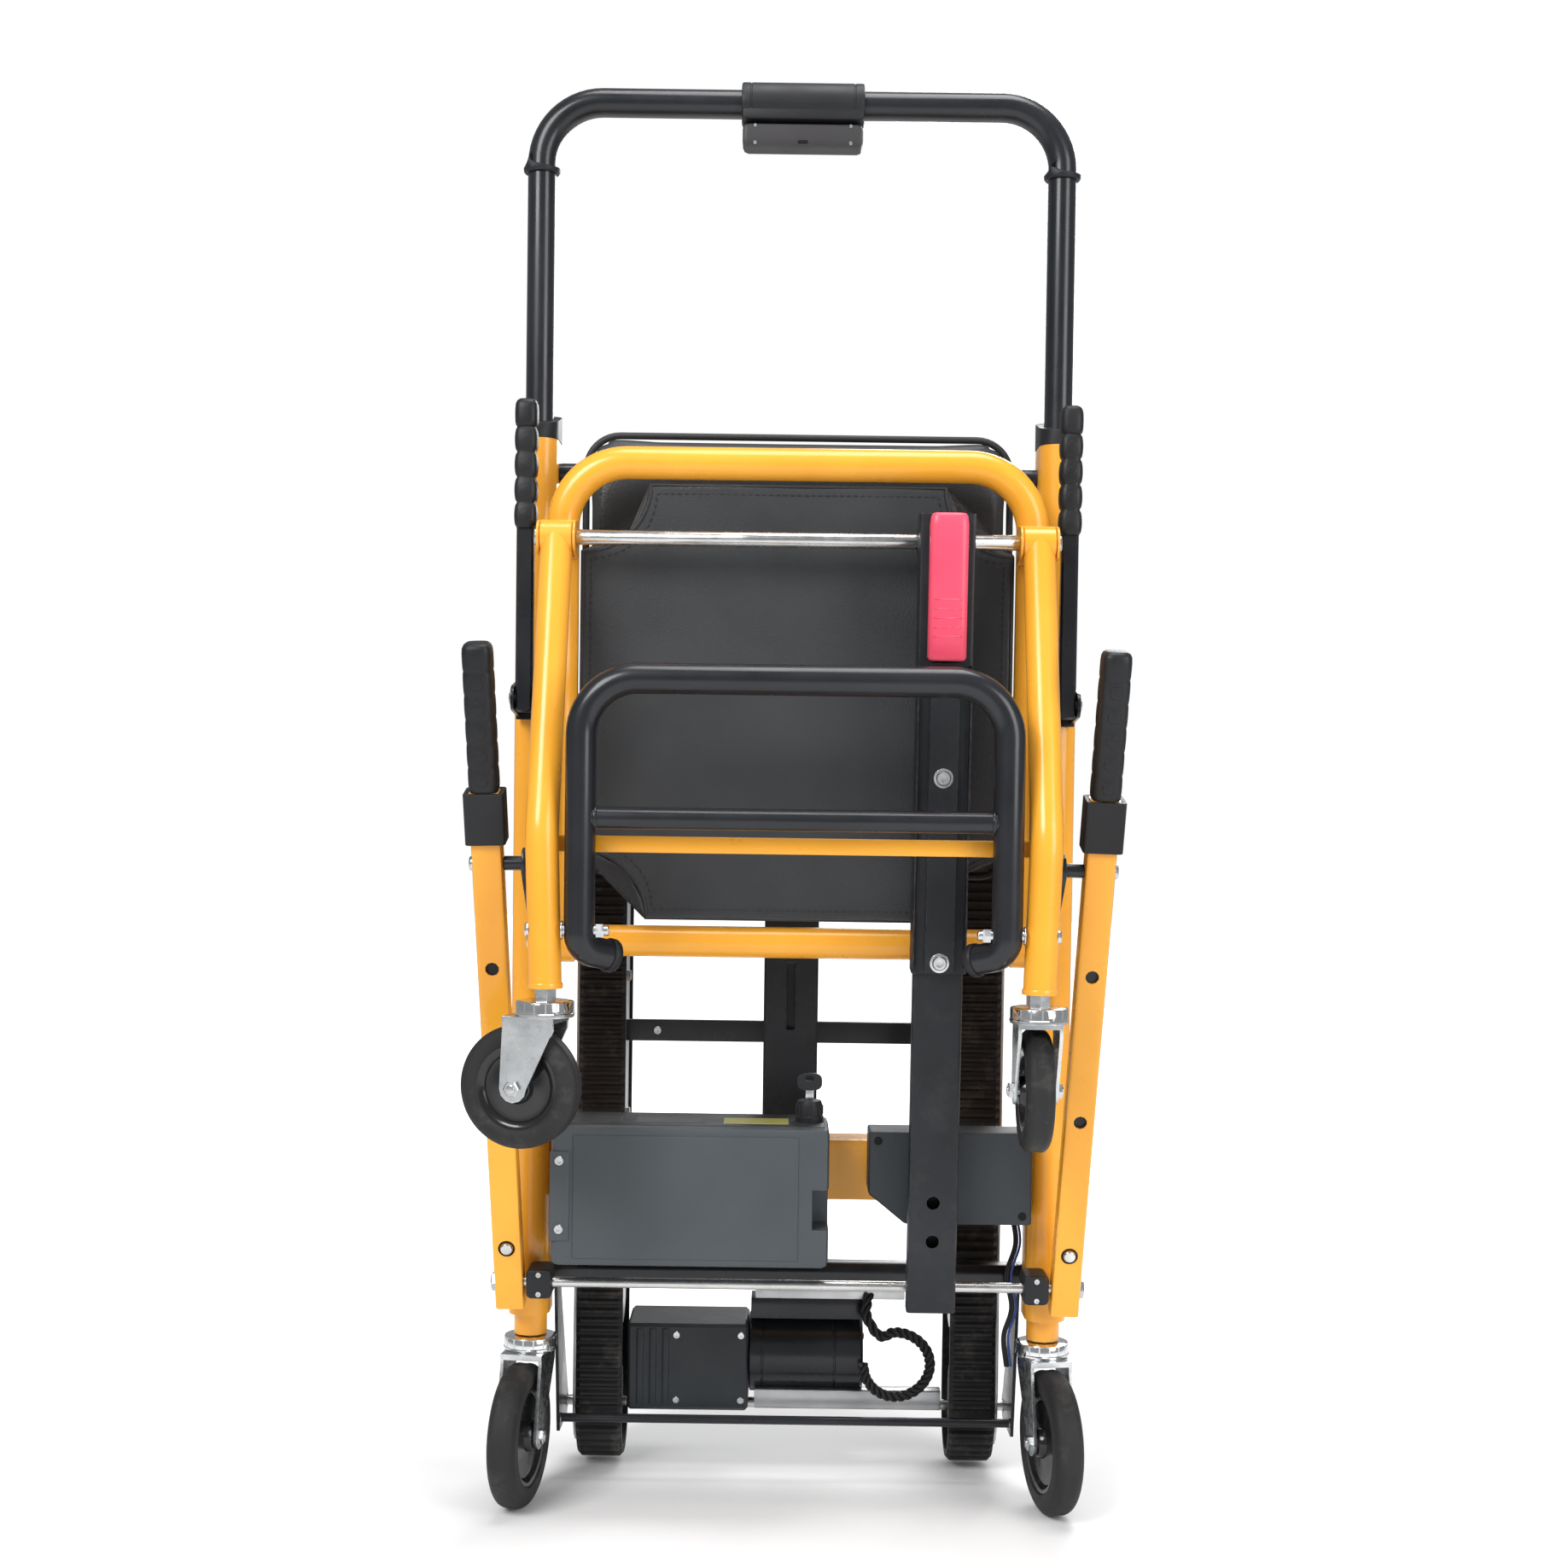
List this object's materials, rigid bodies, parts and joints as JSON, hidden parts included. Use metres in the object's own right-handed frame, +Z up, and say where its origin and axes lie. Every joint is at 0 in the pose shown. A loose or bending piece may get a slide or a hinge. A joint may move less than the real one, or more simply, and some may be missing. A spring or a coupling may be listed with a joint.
{
  "type": "stair chair",
  "caption": "Folded powered stair chair with tracked descent unit, fold-down seat, legs, footrest and armrests, telescoping push handle and swivel casters.",
  "frame": {"origin": "on the floor under the middle of the folded chair's bounding box", "axes": "+Z up, -Y towards the front where the seat folds out, +X to the right seen from the front"},
  "size_m": [0.5396, 0.386, 1.26],
  "materials": {
    "uprights": "gloss",
    "black_frame": "gloss",
    "black_plastic": "satin",
    "foam_grip": "matte",
    "ribbed_grip": "matte",
    "grey_case": "satin",
    "red_plastic": "gloss",
    "vinyl": "satin",
    "steel_rod": "polished",
    "fork_zinc": "polished",
    "track_aluminium": "satin",
    "tyre": "matte",
    "track_rubber": "matte"
  },
  "bodies": {
    "back_frame": {"upright_left": "uprights", "upright_right": "uprights", "handle_collar_left": "black_plastic", "handle_collar_right": "black_plastic", "seat_cross_tube": "uprights", "lower_beam": "uprights", "backrest_bar": "black_frame", "side_plate_left": "black_frame", "side_plate_right": "black_frame", "rod_block_left": "black_plastic", "rod_block_right": "black_plastic", "battery_box": "grey_case", "controller_box": "black_frame", "backrest_sling": "vinyl", "track_lock_column": "black_frame", "armrest_bracket_left": "black_frame", "armrest_bracket_right": "black_frame", "track_hanger": "black_frame"},
    "push_handle": {"handle_tube": "black_frame", "handle_grip_left": "foam_grip", "handle_grip_right": "foam_grip", "control_housing": "black_plastic", "control_plate": "grey_case"},
    "rocker": {"control_rocker": "red_plastic"},
    "key": {"key_switch": "black_plastic"},
    "armrest_left": {"armrest_bar_left": "black_frame", "armrest_grip_left": "ribbed_grip"},
    "armrest_right": {"armrest_bar_right": "black_frame", "armrest_grip_right": "ribbed_grip"},
    "seat": {"seat_frame": "uprights", "seat_rod": "steel_rod", "seat_sling": "vinyl"},
    "legs": {"leg_frame": "uprights"},
    "footrest": {"footrest_frame": "black_frame"},
    "lift_frame": {"lift_arm_left": "uprights", "lift_arm_right": "uprights", "lift_collar_left": "black_plastic", "lift_collar_right": "black_plastic", "lower_rod": "steel_rod", "brace_tube": "black_frame"},
    "lift_grip_left": {"lift_grip_left": "ribbed_grip"},
    "lift_grip_right": {"lift_grip_right": "ribbed_grip"},
    "brace": {"brace_channel": "black_frame"},
    "release": {"release_grip": "red_plastic"},
    "front_fork_left": {"front_fork_left": "fork_zinc"},
    "front_fork_right": {"front_fork_right": "fork_zinc"},
    "front_wheel_left": {"front_wheel_left": "tyre"},
    "front_wheel_right": {"front_wheel_right": "tyre"},
    "rear_fork_left": {"rear_fork_left": "fork_zinc"},
    "rear_fork_right": {"rear_fork_right": "fork_zinc"},
    "rear_wheel_left": {"rear_wheel_left": "tyre"},
    "rear_wheel_right": {"rear_wheel_right": "tyre"},
    "tracks": {"track_frame_left": "track_aluminium", "track_frame_right": "track_aluminium", "track_belt_left": "track_rubber", "track_belt_right": "track_rubber", "track_cross_bar": "black_frame", "gearbox": "grey_case", "motor": "black_frame"},
    "drive": {"drive_shaft": "steel_rod"}
  },
  "joints": [
    {"name": "seat_fold", "type": "hinge", "parent": "back_frame", "child": "seat", "pos_m": [0, -0.033, 0.505], "axis": [1, 0, 0], "range_deg": [0, 84]},
    {"name": "leg_fold", "type": "hinge", "parent": "seat", "child": "legs", "pos_m": [0, -0.073, 0.8456], "axis": [1, 0, 0], "range_deg": [-84, 0]},
    {"name": "lift_frame_fold", "type": "hinge", "parent": "back_frame", "child": "lift_frame", "pos_m": [0, -0.019, 0.205], "axis": [1, 0, 0], "range_deg": [0, 45.6]},
    {"name": "brace_fold", "type": "hinge", "parent": "seat", "child": "brace", "pos_m": [0, -0.073, 0.8456], "axis": [1, 0, 0], "range_deg": [-38.6, 0]},
    {"name": "release_pull", "type": "slide", "parent": "brace", "child": "release", "axis": [0, -0.084, 0.9965], "range_m": [0, 0.012]},
    {"name": "footrest_fold", "type": "hinge", "parent": "legs", "child": "footrest", "pos_m": [0, -0.168, 0.522], "axis": [1, 0, 0], "range_deg": [0, 90]},
    {"name": "handle_slide", "type": "slide", "parent": "back_frame", "child": "push_handle", "axis": [0, 0, 1], "range_m": [-0.2, 0]},
    {"name": "rocker_tilt", "type": "hinge", "parent": "push_handle", "child": "rocker", "pos_m": [0, 0.053, 1.213], "axis": [1, 0, 0], "range_deg": [-8, 8]},
    {"name": "key_turn", "type": "hinge", "parent": "back_frame", "child": "key", "pos_m": [0.017, -0.025, 0.36], "axis": [0, 0, 1], "range_deg": [0, 90]},
    {"name": "armrest_left_fold", "type": "hinge", "parent": "back_frame", "child": "armrest_left", "pos_m": [-0.2325, -0.035, 0.712], "axis": [1, 0, 0], "range_deg": [0, 90]},
    {"name": "armrest_right_fold", "type": "hinge", "parent": "back_frame", "child": "armrest_right", "pos_m": [0.2325, -0.035, 0.712], "axis": [1, 0, 0], "range_deg": [0, 90]},
    {"name": "lift_grip_left_slide", "type": "slide", "parent": "lift_frame", "child": "lift_grip_left", "axis": [-0.0254, -0.2419, 0.97], "range_m": [0, 0.24]},
    {"name": "lift_grip_right_slide", "type": "slide", "parent": "lift_frame", "child": "lift_grip_right", "axis": [0.0254, -0.2419, 0.97], "range_m": [0, 0.24]},
    {"name": "front_caster_left_swivel", "type": "hinge", "parent": "legs", "child": "front_fork_left", "pos_m": [-0.198, -0.163, 0.46], "axis": [0, 0, 1], "continuous": true},
    {"name": "front_wheel_left_spin", "type": "hinge", "parent": "front_fork_left", "child": "front_wheel_left", "pos_m": [-0.21732, -0.15782, 0.3952], "axis": [0.2588, 0.9659, 0], "continuous": true},
    {"name": "front_caster_right_swivel", "type": "hinge", "parent": "legs", "child": "front_fork_right", "pos_m": [0.198, -0.163, 0.46], "axis": [0, 0, 1], "continuous": true},
    {"name": "front_wheel_right_spin", "type": "hinge", "parent": "front_fork_right", "child": "front_wheel_right", "pos_m": [0.198, -0.143, 0.3952], "axis": [1, 0, 0], "continuous": true},
    {"name": "rear_caster_left_swivel", "type": "hinge", "parent": "back_frame", "child": "rear_fork_left", "pos_m": [-0.23, 0.037, 0.14], "axis": [0, 0, 1], "range_deg": [-80, 100]},
    {"name": "rear_wheel_left_spin", "type": "hinge", "parent": "rear_fork_left", "child": "rear_wheel_left", "pos_m": [-0.23556, 0.00549, 0.0625], "axis": [0.9848, -0.1736, 0], "continuous": true},
    {"name": "rear_caster_right_swivel", "type": "hinge", "parent": "back_frame", "child": "rear_fork_right", "pos_m": [0.23, 0.037, 0.14], "axis": [0, 0, 1], "range_deg": [-100, 80]},
    {"name": "rear_wheel_right_spin", "type": "hinge", "parent": "rear_fork_right", "child": "rear_wheel_right", "pos_m": [0.23556, 0.00549, 0.0625], "axis": [0.9848, 0.1736, 0], "continuous": true},
    {"name": "track_fold", "type": "hinge", "parent": "back_frame", "child": "tracks", "pos_m": [0, 0.142, 0.0555], "axis": [1, 0, 0], "range_deg": [-38, 0]},
    {"name": "drive_spin", "type": "hinge", "parent": "tracks", "child": "drive", "pos_m": [0, 0.142, 0.0555], "axis": [1, 0, 0], "continuous": true}
  ],
  "couplings": [
    {"joint": "leg_fold", "follows": "seat_fold", "ratio": -1},
    {"joint": "lift_frame_fold", "follows": "seat_fold", "ratio": 0.542},
    {"joint": "brace_fold", "follows": "seat_fold", "ratio": -0.458}
  ]
}
